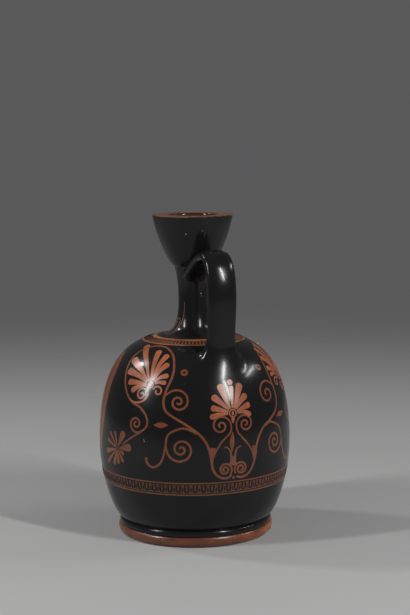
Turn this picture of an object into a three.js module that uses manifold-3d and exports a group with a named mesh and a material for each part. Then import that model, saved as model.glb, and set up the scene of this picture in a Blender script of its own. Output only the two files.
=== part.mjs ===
// A squat lekythos: an oil jug with a round belly, a slim neck, a cup mouth and one strap handle.
// Foot, body, neck and mouth are turned by themselves, the strap is pulled by hand,
// and all of them are luted together with wet slip before the firing.
// Millimetres, +Z up, origin under the middle of the foot, handle towards +X.

import * as THREE from 'three';
import { mergeVertices } from 'three/addons/utils/BufferGeometryUtils.js';
import Module from 'manifold-3d';

// Foot: a ring with a rounded bare edge, a groove and a small moulding above it
const FOOT_HEIGHT = 10;
const FOOT_REST_RADIUS = 45.8;
const FOOT_EDGE_RADIUS = 48.7;
const FOOT_EDGE_HEIGHT = 6.4;
const FOOT_GROOVE_RADIUS = 47.5;
const FOOT_MOULDING_RADIUS = 48;
const FOOT_TOP_RADIUS = 46.8;
const FOOT_HOLLOW_RADIUS = 38.5;
const FOOT_HOLLOW_TOP_RADIUS = 35;

// Body: the belly and the shoulder, thrown in one piece with a hole for the neck
const BODY_HEIGHT = 114.3;
const BODY_BASE_RADIUS = 47.2;
const BODY_TOP_RADIUS = 22;
const BODY_HOLE_RADIUS = 9;
const BODY_WALL = 4;
const BODY_FLOOR = 6;
const BELLY_RADIUS = 60.15;
const BELLY_HEIGHT = 47.5;
const BELLY_FULLNESS_BELOW = 19.5;
const BELLY_FULLNESS_ABOVE = 38;
const BASE_SPREAD = 6.3;
const BASE_LIFT = 4.8;
const SHOULDER_REACH = 28;
const SHOULDER_DROP = 4;

// Neck: flared where it stands on the shoulder, narrowest halfway, wider again under the mouth
const NECK_LENGTH = 41.7;
const NECK_ROOT_RADIUS = 19.2;
const NECK_WAIST_RADIUS = 9.45;
const NECK_WAIST_HEIGHT = 23.7;
const NECK_TOP_RADIUS = 11.4;
const NECK_BORE_RADIUS = 6;
const NECK_BORE_TAPER = 9;
const NECK_ROOT_REACH = 7.6;
const NECK_ROOT_LIFT = 1.5;
const NECK_STRAIGHT_BELOW = 15.5;
const NECK_STRAIGHT_ABOVE = 7.8;
const NECK_TOP_SPREAD = 0.9;
const NECK_TOP_LIFT = 4.6;

// Mouth: a tall cup with a broad flat rim and a bowl that drains into the neck
const MOUTH_HEIGHT = 32.5;
const MOUTH_BASE_RADIUS = 11.7;
const MOUTH_DRAIN_RADIUS = 7;
const RIM_RADIUS = 25.35;
const RIM_WIDTH = 9.6;
const CUP_SPREAD = 3.9;
const CUP_LIFT = 1.4;
const CUP_LEAN = 2;
const CUP_STRAIGHT = 11.8;
const BOWL_FLOOR = 3.4;
const BOWL_UPRIGHT = 18.5;
const BOWL_REACH = 5.5;
const BOWL_LIFT = 1.6;

// Handle: a flat oval strap from the top of the neck over and down to the shoulder
const STRAP_WIDTH = 18.2;
const STRAP_THICKNESS = 7.6;
const HANDLE_JOIN_DROP = 5.5;
const HANDLE_JOIN_REACH = 10;
const HANDLE_CREST_RISE = 9.2;
const HANDLE_CREST_RADIUS = 32.5;
const HANDLE_CREST_RUN_IN = 13.5;
const HANDLE_CREST_RUN_OUT = 8.5;
const HANDLE_OUTER_RADIUS = 45.2;
const HANDLE_BEND_DROP = 24.2;
const HANDLE_BEND_RUN = 14;
const HANDLE_FALL_RUN = 10;
const HANDLE_ROOT_RADIUS = 43.6;

// Slip: the layers in the flat seams, the patches under the strap's ends, and the space beside a patch
const SEAM_THICKNESS = 0.5;
const PATCH_THICKNESS = 1;
const PATCH_OVERHANG = 1.4;
const FIT_GAP = 0.3;

// Fineness of the turned, swept and cut surfaces
const TURN_STEPS = 40;
const BODY_STEPS = 9;
const NECK_STEPS = 6;
const CUP_STEPS = 7;
const EDGE_STEPS = 5;
const STRAP_STEPS = 22;
const STRAP_SIDES = 16;
const FINEST_EDGE = 0.03;

// Heights at which the sections stand on one another
const BODY_BASE = FOOT_HEIGHT + SEAM_THICKNESS;
const BODY_TOP = BODY_BASE + BODY_HEIGHT;
const NECK_BASE = BODY_TOP + SEAM_THICKNESS;
const NECK_TOP = NECK_BASE + NECK_LENGTH;
const MOUTH_BASE = NECK_TOP + SEAM_THICKNESS;

const wasm = await Module();
wasm.setup();

function at(radius, height) {
  return new THREE.Vector2(radius, height);
}

function curveOf(steps, start, leave, arrive, end) {
  return new THREE.CubicBezierCurve(start, leave, arrive, end).getPoints(steps);
}

// A rounded edge between two points of an outline that is widest halfway up
function bulge(start, widest, end) {
  const pull = (8 * widest - start.x - end.x) / 6;
  return curveOf(EDGE_STEPS, start, at(pull, start.y), at(pull, end.y), end);
}

// The same outline moved square to itself, outwards for a distance above zero
function beside(outline, distance) {
  return outline.map((here, i) => {
    const before = outline[Math.max(i - 1, 0)];
    const after = outline[Math.min(i + 1, outline.length - 1)];
    const along = after.clone().sub(before).normalize();
    return at(here.x + along.y * distance, here.y - along.x * distance);
  });
}

function raised(outline, height) {
  return outline.map((here) => at(here.x, here.y + height));
}

// A solid of revolution about Z from an outline that runs out, up and back in
function turned(outline) {
  return new THREE.LatheGeometry(outline, TURN_STEPS).rotateX(Math.PI / 2);
}

function ring(outline) {
  return turned([...outline, outline[0]]);
}

function footOutline() {
  const rest = at(FOOT_REST_RADIUS, 0);
  const groove = at(FOOT_GROOVE_RADIUS, FOOT_EDGE_HEIGHT);
  const top = at(FOOT_TOP_RADIUS, FOOT_HEIGHT);
  return [
    at(FOOT_HOLLOW_RADIUS, 0),
    ...bulge(rest, FOOT_EDGE_RADIUS, groove),
    ...bulge(groove, FOOT_MOULDING_RADIUS, top).slice(1),
    at(FOOT_HOLLOW_TOP_RADIUS, FOOT_HEIGHT),
  ];
}

// The outside of the body from its base to the hole for the neck
function bodyWall() {
  const base = at(BODY_BASE_RADIUS, 0);
  const belly = at(BELLY_RADIUS, BELLY_HEIGHT);
  const top = at(BODY_TOP_RADIUS, BODY_HEIGHT);
  const below = curveOf(
    BODY_STEPS,
    base,
    at(base.x + BASE_SPREAD, base.y + BASE_LIFT),
    at(belly.x, belly.y - BELLY_FULLNESS_BELOW),
    belly,
  );
  const above = curveOf(
    BODY_STEPS,
    belly,
    at(belly.x, belly.y + BELLY_FULLNESS_ABOVE),
    at(top.x + SHOULDER_REACH, top.y - SHOULDER_DROP),
    top,
  );
  return [...below, ...above.slice(1)];
}

function bodyOutline() {
  const outside = bodyWall();
  const roof = BODY_HEIGHT - BODY_WALL;
  const inside = beside(outside, -BODY_WALL).filter((here) => here.y > BODY_FLOOR && here.y < roof);
  return [
    at(0, 0),
    ...outside,
    at(BODY_HOLE_RADIUS, BODY_HEIGHT),
    at(BODY_HOLE_RADIUS, roof),
    ...inside.reverse(),
    at(inside.at(-1).x, BODY_FLOOR),
    at(0, BODY_FLOOR),
  ];
}

// The outside of the neck from the shoulder to the mouth
function neckWall() {
  const root = at(NECK_ROOT_RADIUS, 0);
  const waist = at(NECK_WAIST_RADIUS, NECK_WAIST_HEIGHT);
  const top = at(NECK_TOP_RADIUS, NECK_LENGTH);
  const below = curveOf(
    NECK_STEPS,
    root,
    at(root.x - NECK_ROOT_REACH, root.y + NECK_ROOT_LIFT),
    at(waist.x, waist.y - NECK_STRAIGHT_BELOW),
    waist,
  );
  const above = curveOf(
    NECK_STEPS,
    waist,
    at(waist.x, waist.y + NECK_STRAIGHT_ABOVE),
    at(top.x - NECK_TOP_SPREAD, top.y - NECK_TOP_LIFT),
    top,
  );
  return [...below, ...above.slice(1)];
}

function neckOutline() {
  return [
    at(BODY_HOLE_RADIUS, 0),
    ...neckWall(),
    at(MOUTH_DRAIN_RADIUS, NECK_LENGTH),
    at(NECK_BORE_RADIUS, NECK_LENGTH - NECK_BORE_TAPER),
    at(NECK_BORE_RADIUS, NECK_BORE_TAPER),
  ];
}

// The outside of the mouth from the neck to the rim
function mouthWall() {
  const base = at(MOUTH_BASE_RADIUS, 0);
  const rim = at(RIM_RADIUS, MOUTH_HEIGHT);
  return curveOf(
    CUP_STEPS,
    base,
    at(base.x + CUP_SPREAD, base.y + CUP_LIFT),
    at(rim.x - CUP_LEAN, rim.y - CUP_STRAIGHT),
    rim,
  );
}

function mouthOutline() {
  const edge = at(RIM_RADIUS - RIM_WIDTH, MOUTH_HEIGHT);
  const drain = at(MOUTH_DRAIN_RADIUS, BOWL_FLOOR);
  const bowl = curveOf(
    CUP_STEPS,
    edge,
    at(edge.x, edge.y - BOWL_UPRIGHT),
    at(drain.x + BOWL_REACH, drain.y + BOWL_LIFT),
    drain,
  );
  return [at(MOUTH_DRAIN_RADIUS, 0), ...mouthWall(), ...bowl];
}

// A flat layer of slip between two sections
function seamOutline(inner, below, above) {
  return [at(inner, 0), at(below, 0), at(above, SEAM_THICKNESS), at(inner, SEAM_THICKNESS)];
}

// How high the outside of the shoulder is at a given radius, above the surface the jug stands on
function shoulderHeight(radius) {
  const wall = bodyWall();
  const upper = wall.findLastIndex((here) => here.x >= radius);
  const lower = wall[upper];
  const next = wall[upper + 1];
  const share = (lower.x - radius) / (lower.x - next.x);
  return BODY_BASE + lower.y + (next.y - lower.y) * share;
}

// The middle line of the strap: out of the neck, over the crest, down, and into the shoulder
function strapPath() {
  const joinHeight = NECK_TOP - HANDLE_JOIN_DROP;
  const crestHeight = NECK_TOP + HANDLE_CREST_RISE;
  const bendHeight = crestHeight - HANDLE_BEND_DROP;
  const rootHeight = shoulderHeight(HANDLE_ROOT_RADIUS);
  const on = (radius, height) => new THREE.Vector3(radius, 0, height);
  const path = new THREE.CurvePath();
  path.add(new THREE.CubicBezierCurve3(
    on(0, joinHeight),
    on(HANDLE_JOIN_REACH, joinHeight),
    on(HANDLE_CREST_RADIUS - HANDLE_CREST_RUN_IN, crestHeight),
    on(HANDLE_CREST_RADIUS, crestHeight),
  ));
  path.add(new THREE.CubicBezierCurve3(
    on(HANDLE_CREST_RADIUS, crestHeight),
    on(HANDLE_CREST_RADIUS + HANDLE_CREST_RUN_OUT, crestHeight),
    on(HANDLE_OUTER_RADIUS, bendHeight + HANDLE_BEND_RUN),
    on(HANDLE_OUTER_RADIUS, bendHeight),
  ));
  path.add(new THREE.CubicBezierCurve3(
    on(HANDLE_OUTER_RADIUS, bendHeight),
    on(HANDLE_OUTER_RADIUS, bendHeight - HANDLE_FALL_RUN),
    on(HANDLE_ROOT_RADIUS, rootHeight + HANDLE_FALL_RUN),
    on(HANDLE_ROOT_RADIUS, rootHeight - STRAP_THICKNESS),
  ));
  return path;
}

// The strap before it is fitted, made thicker all round by an overhang
function strapSweep(overhang) {
  const section = new THREE.Shape();
  const halfWidth = STRAP_WIDTH / 2 + overhang;
  const halfThickness = STRAP_THICKNESS / 2 + overhang;
  section.absellipse(0, 0, halfWidth, halfThickness, 0, 2 * Math.PI);
  const sweep = { steps: STRAP_STEPS, curveSegments: STRAP_SIDES / 2, extrudePath: strapPath() };
  return solidOf(new THREE.ExtrudeGeometry(section, sweep));
}

// A filled solid inside an outline, with its skin moved out by a distance
function filled(outline, distance) {
  const skin = beside(outline, distance);
  return solidOf(turned([at(0, skin[0].y), ...skin, at(0, skin.at(-1).y)]));
}

// A closed geometry as a solid that can be cut and joined
function solidOf(geometry) {
  geometry.deleteAttribute('normal');
  geometry.deleteAttribute('uv');
  const merged = mergeVertices(geometry);
  const corners = merged.index.array;
  const triVerts = [];
  for (let i = 0; i < corners.length; i += 3) {
    const [a, b, c] = corners.subarray(i, i + 3);
    if (a !== b && b !== c && c !== a) triVerts.push(a, b, c);
  }
  return new wasm.Manifold(new wasm.Mesh({
    numProp: 3,
    vertProperties: merged.attributes.position.array,
    triVerts: new Uint32Array(triVerts),
  }));
}

// A cut solid as a geometry, with the slivers that the cuts leave closed up
function geometryOf(solid) {
  const mesh = solid.asOriginal().simplify(FINEST_EDGE).getMesh();
  const geometry = new THREE.BufferGeometry();
  geometry.setAttribute('position', new THREE.BufferAttribute(mesh.vertProperties, 3));
  geometry.setIndex(new THREE.BufferAttribute(mesh.triVerts, 1));
  geometry.computeVertexNormals();
  return geometry;
}

// The walls that the strap is luted to, as outlines at their place in the jug
const neckAndMouth = [...raised(neckWall(), NECK_BASE), ...raised(mouthWall(), MOUTH_BASE)];
const body = raised(bodyWall(), BODY_BASE);
const patchSkin = FIT_GAP + PATCH_THICKNESS;

function handleGeometry() {
  const fitted = strapSweep(0)
    .subtract(filled(neckAndMouth, patchSkin + FIT_GAP))
    .subtract(filled(body, patchSkin + FIT_GAP));
  return geometryOf(fitted);
}

// The layer of slip that the strap's end is pressed into, standing out a little all round it
function patchGeometry(wall) {
  const layer = filled(wall, patchSkin).subtract(filled(wall, FIT_GAP));
  return geometryOf(strapSweep(PATCH_OVERHANG).intersect(layer));
}

const blackGloss = { color: 0x0c0c0d, roughness: 0.22, metalness: 0 };
const bareClay = { color: 0xa8552f, roughness: 0.7, metalness: 0 };
const driedSlip = { color: 0x3a2018, roughness: 0.6, metalness: 0 };

const lekythos = new THREE.Group();

function place(name, geometry, height, finish) {
  const mesh = new THREE.Mesh(geometry, new THREE.MeshStandardMaterial(finish));
  mesh.name = name;
  mesh.position.z = height;
  lekythos.add(mesh);
}

place('foot', ring(footOutline()), 0, bareClay);
place('foot_slip', ring(seamOutline(FOOT_HOLLOW_TOP_RADIUS, FOOT_TOP_RADIUS, BODY_BASE_RADIUS)),
  FOOT_HEIGHT, driedSlip);
place('body', turned(bodyOutline()), BODY_BASE, blackGloss);
place('neck_slip', ring(seamOutline(BODY_HOLE_RADIUS, BODY_TOP_RADIUS, NECK_ROOT_RADIUS)),
  BODY_TOP, driedSlip);
place('neck', ring(neckOutline()), NECK_BASE, blackGloss);
place('mouth_slip', ring(seamOutline(MOUTH_DRAIN_RADIUS, NECK_TOP_RADIUS, MOUTH_BASE_RADIUS)),
  NECK_TOP, driedSlip);
place('mouth', ring(mouthOutline()), MOUTH_BASE, blackGloss);
place('handle', handleGeometry(), 0, blackGloss);
place('handle_upper_slip', patchGeometry(neckAndMouth), 0, driedSlip);
place('handle_lower_slip', patchGeometry(body), 0, driedSlip);

export default lekythos;
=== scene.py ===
"""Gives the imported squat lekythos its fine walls, strap handle, black gloss and ornament."""

import math
from bisect import bisect_right

import bmesh
import bpy
from mathutils import Matrix, Vector


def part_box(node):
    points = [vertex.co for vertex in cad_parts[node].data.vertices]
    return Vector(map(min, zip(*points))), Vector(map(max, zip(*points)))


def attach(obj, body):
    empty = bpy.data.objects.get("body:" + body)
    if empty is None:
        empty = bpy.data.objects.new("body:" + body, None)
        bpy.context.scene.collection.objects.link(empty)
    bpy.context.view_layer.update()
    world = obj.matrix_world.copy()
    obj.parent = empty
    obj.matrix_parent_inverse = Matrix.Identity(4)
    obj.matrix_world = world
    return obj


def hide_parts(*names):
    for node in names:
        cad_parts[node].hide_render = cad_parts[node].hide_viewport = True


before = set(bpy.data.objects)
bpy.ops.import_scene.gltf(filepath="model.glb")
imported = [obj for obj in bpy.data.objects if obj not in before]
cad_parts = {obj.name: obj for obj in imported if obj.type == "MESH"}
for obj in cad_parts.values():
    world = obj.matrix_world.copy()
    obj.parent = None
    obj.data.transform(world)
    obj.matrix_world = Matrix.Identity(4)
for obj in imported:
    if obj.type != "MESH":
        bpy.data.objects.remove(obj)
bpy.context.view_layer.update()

bl_info = {
    "name": "Squat lekythos",
    "version": (1, 0, 0),
    "blender": (4, 5, 0),
    "location": "View3D > Sidebar > Lekythos",
    "description": "Builds the finished surfaces and ornament of a squat lekythos",
    "category": "Add Mesh",
}

ROOT = "root"
MM = 0.001

FOOT_LOW, FOOT_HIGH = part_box("foot")
BODY_LOW, BODY_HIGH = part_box("body")
NECK_LOW, NECK_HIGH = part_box("neck")
MOUTH_LOW, MOUTH_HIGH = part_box("mouth")
HANDLE_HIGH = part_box("handle")[1]

# How finely walls and strokes are divided
TURN_STEPS = 192
WALL_STEPS = 48
EDGE_STEPS = 12
CORNER_STEPS = 5
STRAP_ROWS = 96
STRAP_SIDES = 48
FLARE_ROWS = 14
LANDING_HALVINGS = 12
LINE_STEPS = 8
PETAL_STEPS = 18
CURL_STEPS = 9
RING_STEPS = 32
EGG_STEPS = 6
DART_STEPS = 3
LOWER_BAND_ROWS = 4
SHOULDER_BAND_ROWS = 3
ARCH_DEGREES = 20
LEAF_COLUMNS = 8
FLOOR_SIDES = 96
CREASE_ANGLE = math.radians(35)
MERGE_DISTANCE = 1e-6

# Depths below the nominal wall, in millimetres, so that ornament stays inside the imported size
GLOSS_DEPTH = 0.12
CLAY_DEPTH = 0.07
EGG_DEPTH = 0.01
LAYER_STEP = 0.0012
INLAY_THICKNESS = 0.1


def length(title, text, default):
    """A size in metres."""
    return bpy.props.FloatProperty(
        name=title, description=text, default=default, min=0.0, precision=5,
        unit="LENGTH", subtype="DISTANCE")


def angle(title, text, degrees):
    """An angle that the panel shows in degrees."""
    return bpy.props.FloatProperty(
        name=title, description=text, default=math.radians(degrees),
        unit="ROTATION", subtype="ANGLE")


def colour(title, text, default):
    """A colour in linear values."""
    return bpy.props.FloatVectorProperty(
        name=title, description=text, default=default, size=3, min=0.0, max=1.0, subtype="COLOR")


def flare(title, text, default):
    """How far slip spreads beside a strap, over its outer face and over its inner face."""
    return bpy.props.FloatVectorProperty(
        name=title, description=text, default=default, size=3, min=0.0, precision=5, unit="LENGTH")


def count(title, text, default):
    """A number of copies."""
    return bpy.props.IntProperty(name=title, description=text, default=default, min=1)


def group(kind, title, text):
    """A group of settings inside another."""
    return bpy.props.PointerProperty(type=kind, name=title, description=text)


class FootSizes(bpy.types.PropertyGroup):
    """Radii and heights of the turned foot."""
    rest_radius: length("Rest radius", "Outer edge of the face that the jug stands on", 0.0458)
    edge_height: length("Edge height", "Height of the rounded bare edge", 0.0064)
    groove_radius: length("Groove radius", "Radius of the groove over the bare edge", 0.0475)
    moulding_radius: length("Moulding radius", "Widest radius of the black moulding", 0.048)
    top_radius: length("Top radius", "Radius where the foot meets the body", 0.0468)
    hollow_radius: length("Hollow radius", "Radius of the hollow at the rest face", 0.0385)
    hollow_top_radius: length("Hollow top radius", "Radius of the hollow under the body", 0.035)


class BodySizes(bpy.types.PropertyGroup):
    """Radii, heights and fullness of the belly and shoulder."""
    base_radius: length("Base radius", "Radius where the body meets the foot", 0.0472)
    top_radius: length("Top radius", "Radius of the flat seat under the neck", 0.022)
    hole_radius: length("Hole radius", "Radius of the hole under the neck", 0.009)
    wall: length("Wall", "Thickness of the thrown wall", 0.004)
    floor: length("Floor", "Thickness of the floor", 0.006)
    belly_height: length("Belly height", "Height of the widest place over the base", 0.0475)
    fullness_below: length("Fullness below", "How far down the belly stays full", 0.0195)
    fullness_above: length("Fullness above", "How far up the belly stays full", 0.038)
    base_spread: length("Base spread", "How far the wall first runs out from the base", 0.0063)
    base_lift: length("Base lift", "How far the wall first rises from the base", 0.0048)
    shoulder_reach: length("Shoulder reach", "How far the shoulder runs out from the neck", 0.028)
    shoulder_drop: length("Shoulder drop", "How far the shoulder falls on that run", 0.004)


class NeckSizes(bpy.types.PropertyGroup):
    """Radii and heights of the neck."""
    root_radius: length("Root radius", "Radius of the flared root", 0.0192)
    waist_radius: length("Waist radius", "Narrowest radius", 0.00945)
    waist_height: length("Waist height", "Height of the narrowest place over the root", 0.0237)
    top_radius: length("Top radius", "Radius under the mouth", 0.0114)
    bore_radius: length("Bore radius", "Radius of the bore", 0.006)
    bore_taper: length("Bore taper", "Length over which the bore widens at each end", 0.009)
    root_reach: length("Root reach", "How far the root sweeps in", 0.0076)
    root_lift: length("Root lift", "How far the root rises on that sweep", 0.0015)
    straight_below: length("Straight below", "Straight run below the waist", 0.0155)
    straight_above: length("Straight above", "Straight run above the waist", 0.0078)
    top_spread: length("Top spread", "How far the top flares out", 0.0009)
    top_lift: length("Top lift", "Height of that flare", 0.0046)


class MouthSizes(bpy.types.PropertyGroup):
    """Radii and wall of the cup mouth."""
    base_radius: length("Base radius", "Radius over the neck", 0.0117)
    drain_radius: length("Drain radius", "Radius of the drain into the neck", 0.007)
    rim_width: length("Rim width", "Width of the rim from its outer to its inner edge", 0.0108)
    cup_spread: length("Cup spread", "How far the cup first runs out", 0.0039)
    cup_lift: length("Cup lift", "How far the cup first rises", 0.0014)
    cup_lean: length("Cup lean", "How far the wall leans out below the rim", 0.002)
    cup_straight: length("Cup straight", "Height of that lean", 0.0118)
    bowl_floor: length("Bowl floor", "Thickness of the clay under the bowl", 0.0034)
    bowl_upright: length("Bowl upright", "Upright run of the bowl under the rim", 0.0185)
    bowl_reach: length("Bowl reach", "How far the bowl's bottom runs out from the drain", 0.0055)
    bowl_lift: length("Bowl lift", "How far the bowl's bottom rises on that run", 0.0016)
    rim_round: length("Rim rounding", "Radius of the rim's worn outer edge", 0.0005)
    lip_round: length("Lip rounding", "Radius of the rim's inner edge", 0.0022)
    rim_bare: length("Bare rim", "Height of bare clay outside the rim", 0.0005)
    seam_swell: length("Seam swell", "How far the slip swells out under the mouth", 0.0003)


class HandleSizes(bpy.types.PropertyGroup):
    """Path and section of the strap."""
    thickness: length("Thickness", "Thickness of the strap", 0.0076)
    join_drop: length("Join drop", "How far below the mouth the strap leaves the neck", 0.0055)
    join_reach: length("Join reach", "First run out of the neck", 0.010)
    crest_rise: length("Crest rise", "Height of the strap's crest over the neck", 0.0092)
    crest_radius: length("Crest radius", "Distance of the crest from the axis", 0.0325)
    crest_run_in: length("Crest run in", "Level run before the crest", 0.0135)
    crest_run_out: length("Crest run out", "Level run after the crest", 0.0085)
    outer_radius: length("Outer radius", "Distance of the hanging part from the axis", 0.0452)
    bend_drop: length("Bend drop", "Height of the bend after the crest", 0.0242)
    bend_run: length("Bend run", "Upright run at the end of the bend", 0.014)
    fall_run: length("Fall run", "Upright runs of the hanging part", 0.010)
    root_radius: length("Root radius", "Distance of the root from the axis", 0.042)
    upper_flare: flare("Upper flare", "Slip between strap and neck", (0.0002, 0.0015, 0.003))
    lower_flare: flare("Lower flare", "Slip between strap and shoulder", (0.0075, 0.0056, 0.004))
    squareness: bpy.props.FloatProperty(
        name="Squareness", description="How square the strap's section is, where 2 is an oval",
        default=2.35, min=2.0, max=6.0)


class OrnamentSizes(bpy.types.PropertyGroup):
    """Counts of the eggs and tongues."""
    lower_eggs: count("Lower eggs", "Eggs in the band under the belly", 72)
    shoulder_eggs: count("Shoulder eggs", "Eggs in the band on the shoulder", 84)
    tongues: count("Tongues", "Tongues on the front of the neck", 10)


class Finishes(bpy.types.PropertyGroup):
    """Colours of the gloss, the clay and the slip."""
    gloss_black: colour("Gloss black", "Main colour of the black gloss", (0.0085, 0.0085, 0.009))
    gloss_brown: colour("Gloss brown", "Colour where the gloss is thin", (0.013, 0.0095, 0.0075))
    gloss_thin: colour("Thin gloss", "Gloss in the bowl and in fine strokes", (0.06, 0.021, 0.01))
    clay_light: colour("Light clay", "Clay under a thick wash", (0.37, 0.108, 0.043))
    clay_dark: colour("Dark clay", "Clay where the wash is dirty or thin", (0.23, 0.064, 0.024))
    clay_worn: colour("Worn clay", "Clay rubbed pale at the edges", (0.31, 0.19, 0.135))
    chip_pale: colour("Pale chip", "Clay with lime in the chips of the gloss", (0.18, 0.168, 0.155))
    # Clay on the side towards +Y, partly reddened in the fire and partly painted light on that side
    clay_flashed_and_lit: colour("Flashed clay", "Clay reddened towards the fire", (0.38, 0.098, 0.022))
    slip_dark: colour("Slip", "Fired slip in the seams", (0.014, 0.010, 0.008))
    soil: colour("Soil", "Dirt caught in pits and scratches", (0.055, 0.028, 0.018))


class StageSettings(bpy.types.PropertyGroup):
    """Camera, floor and backdrop."""
    camera_place: bpy.props.FloatVectorProperty(
        name="Camera place", description="Where the camera stands",
        default=(0.8736, -0.3619, 0.2588), size=3, unit="LENGTH", subtype="TRANSLATION")
    heading: angle("Heading", "Compass turn of the camera, from looking along +Y", 67.056)
    tilt: angle("Tilt", "How far the camera looks down", 7.083)
    roll: angle("Roll", "How far the camera leans to the right", 0.525)
    lens: bpy.props.FloatProperty(
        name="Lens", description="Focal length in millimetres", default=88.95, min=1.0)
    floor_radius: length("Floor radius", "Radius of the floor", 2.6)
    floor_colour: colour("Floor", "Colour of the pale floor", (0.42, 0.417, 0.414))
    backdrop_colour: colour("Backdrop", "Colour behind the floor", (0.1, 0.1, 0.103))


class LekythosSettings(bpy.types.PropertyGroup):
    """Everything about the jug that can be changed from the panel."""
    foot: group(FootSizes, "Foot", "Sizes of the foot")
    body: group(BodySizes, "Body", "Sizes of the body")
    neck: group(NeckSizes, "Neck", "Sizes of the neck")
    mouth: group(MouthSizes, "Mouth", "Sizes of the mouth")
    handle: group(HandleSizes, "Handle", "Sizes of the handle")
    ornament: group(OrnamentSizes, "Ornament", "Bands and tongues")
    finish: group(Finishes, "Finishes", "Colours")
    stage: group(StageSettings, "Stage", "Camera, floor and backdrop")


# Outlines of the turned pieces, as lists of radius and height

def curve(steps, start, leave, arrive, end):
    """Points on a smooth curve that leaves and arrives towards the two middle points."""
    points = []
    for step in range(steps + 1):
        t = step / steps
        weights = ((1 - t) ** 3, 3 * t * (1 - t) ** 2, 3 * t * t * (1 - t), t ** 3)
        points.append(tuple(
            sum(weight * point[i] for weight, point in zip(weights, (start, leave, arrive, end)))
            for i in (0, 1)))
    return points


def bulge(start, widest, end):
    """A rounded edge between two points that is widest halfway up."""
    pull = (8 * widest - start[0] - end[0]) / 6
    return curve(EDGE_STEPS, start, (pull, start[1]), (pull, end[1]), end)


def beside(outline, distance):
    """The same outline moved square to itself, outwards for a distance above zero."""
    moved = []
    for i, (radius, height) in enumerate(outline):
        before = outline[max(i - 1, 0)]
        after = outline[min(i + 1, len(outline) - 1)]
        run, rise = after[0] - before[0], after[1] - before[1]
        size = math.hypot(run, rise)
        moved.append((radius + rise / size * distance, height - run / size * distance))
    return moved


def foot_wall(foot):
    """The foot's outside from its rest face to the body."""
    rest = (foot.rest_radius, FOOT_LOW.z)
    groove = (foot.groove_radius, FOOT_LOW.z + foot.edge_height)
    top = (foot.top_radius, FOOT_HIGH.z)
    return bulge(rest, FOOT_HIGH.x, groove) + bulge(groove, foot.moulding_radius, top)[1:]


def body_wall(body):
    """The body's outside from the foot to the seat of the neck."""
    base = (body.base_radius, BODY_LOW.z)
    belly = (BODY_HIGH.x, BODY_LOW.z + body.belly_height)
    top = (body.top_radius, BODY_HIGH.z)
    below = curve(
        WALL_STEPS, base, (base[0] + body.base_spread, base[1] + body.base_lift),
        (belly[0], belly[1] - body.fullness_below), belly)
    above = curve(
        WALL_STEPS, belly, (belly[0], belly[1] + body.fullness_above),
        (top[0] + body.shoulder_reach, top[1] - body.shoulder_drop), top)
    return below + above[1:]


def neck_wall(neck):
    """The neck's outside from the shoulder to the mouth."""
    root = (neck.root_radius, NECK_LOW.z)
    waist = (neck.waist_radius, NECK_LOW.z + neck.waist_height)
    top = (neck.top_radius, NECK_HIGH.z)
    below = curve(
        WALL_STEPS, root, (root[0] - neck.root_reach, root[1] + neck.root_lift),
        (waist[0], waist[1] - neck.straight_below), waist)
    above = curve(
        WALL_STEPS, waist, (waist[0], waist[1] + neck.straight_above),
        (top[0] - neck.top_spread, top[1] - neck.top_lift), top)
    return below + above[1:]


def mouth_wall(mouth):
    """The cup's outside from the neck to the rim."""
    base = (mouth.base_radius, MOUTH_LOW.z)
    rim = (MOUTH_HIGH.x, MOUTH_HIGH.z)
    return curve(
        WALL_STEPS, base, (base[0] + mouth.cup_spread, base[1] + mouth.cup_lift),
        (rim[0] - mouth.cup_lean, rim[1] - mouth.cup_straight), rim)


def rim_outline(mouth):
    """The cup's outside, the rounded rim and the bowl inside, down to the drain."""
    top = MOUTH_HIGH.z
    turn, fall = mouth.rim_round, mouth.lip_round
    outer, inner = MOUTH_HIGH.x, MOUTH_HIGH.x - mouth.rim_width
    drain = (mouth.drain_radius, MOUTH_LOW.z + mouth.bowl_floor)
    lip = [point for point in mouth_wall(mouth) if point[1] < top - turn]
    outer_edge = curve(CORNER_STEPS, lip[-1], (outer, top), (outer, top), (outer - turn, top))
    inner_edge = curve(
        CORNER_STEPS, (inner + fall, top), (inner, top), (inner, top), (inner, top - fall))
    bowl = curve(
        WALL_STEPS, inner_edge[-1], (inner, top - mouth.bowl_upright),
        (drain[0] + mouth.bowl_reach, drain[1] + mouth.bowl_lift), drain)
    return lip + outer_edge[1:] + inner_edge + bowl[1:]


def between(first, second, share):
    """A point or place a share of the way from the first to the second."""
    return tuple(a + (b - a) * share for a, b in zip(first, second))


def run_lengths(line):
    """The length along a line from its start to each of its points."""
    runs = [0.0]
    for here, there in zip(line, line[1:]):
        runs.append(runs[-1] + math.hypot(there[0] - here[0], there[1] - here[1]))
    return runs


def along(runs, run, *lines):
    """The points at a run on a line and on the lines beside it."""
    run = min(max(run, 0.0), runs[-1])
    k = min(bisect_right(runs, run), len(runs) - 1)
    share = (run - runs[k - 1]) / (runs[k] - runs[k - 1])
    return [between(line[k - 1], line[k], share) for line in lines]


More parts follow.
